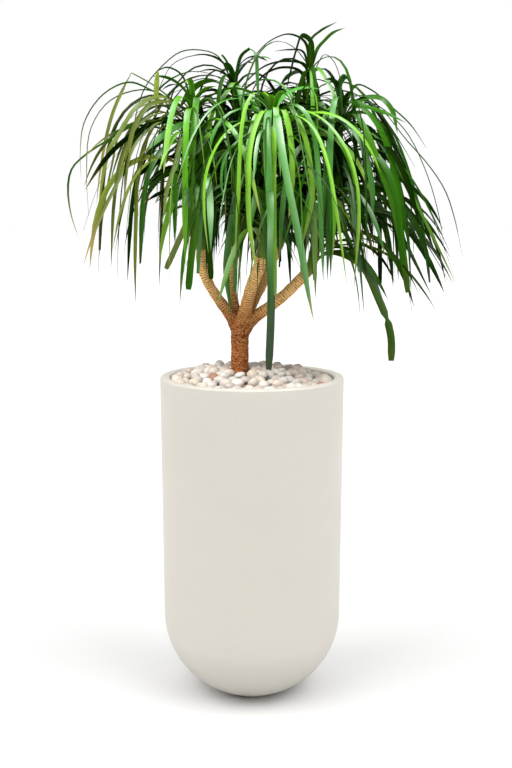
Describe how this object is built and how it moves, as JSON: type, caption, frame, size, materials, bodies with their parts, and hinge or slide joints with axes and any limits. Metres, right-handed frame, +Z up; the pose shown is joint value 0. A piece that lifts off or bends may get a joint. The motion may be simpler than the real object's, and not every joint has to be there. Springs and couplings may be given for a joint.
{
  "type": "potted ponytail palm",
  "caption": "Ponytail palm with a short forked trunk and long arching strap leaves, in a tall cream round-bottomed planter topped with pale pebbles.",
  "frame": {"origin": "centre of the planter's flat foot, on the floor", "axes": "+Z up along the planter's axis; -Y is the side seen in the picture; +X is to the right in the picture"},
  "size_m": [0.9423, 0.6689, 1.6616],
  "materials": {
    "planter": "satin cream",
    "soil": "loose and matt",
    "pebbles": "tumbled, matt",
    "bark": "rough, ringed with leaf scars",
    "leaf_left": "semi-gloss",
    "leaf_rear_left": "semi-gloss",
    "leaf_front": "semi-gloss",
    "leaf_rear_right": "semi-gloss",
    "leaf_right": "semi-gloss"
  },
  "bodies": {
    "root": {"planter": "planter", "potting_soil": "soil", "pebbles": "pebbles", "trunk_and_branches": "bark", "leafy_shoot_left": "leaf_left", "leafy_shoot_rear_left": "leaf_rear_left", "leafy_shoot_front": "leaf_front", "leafy_shoot_rear_right": "leaf_rear_right", "leafy_shoot_right": "leaf_right"}
  },
  "joints": []
}
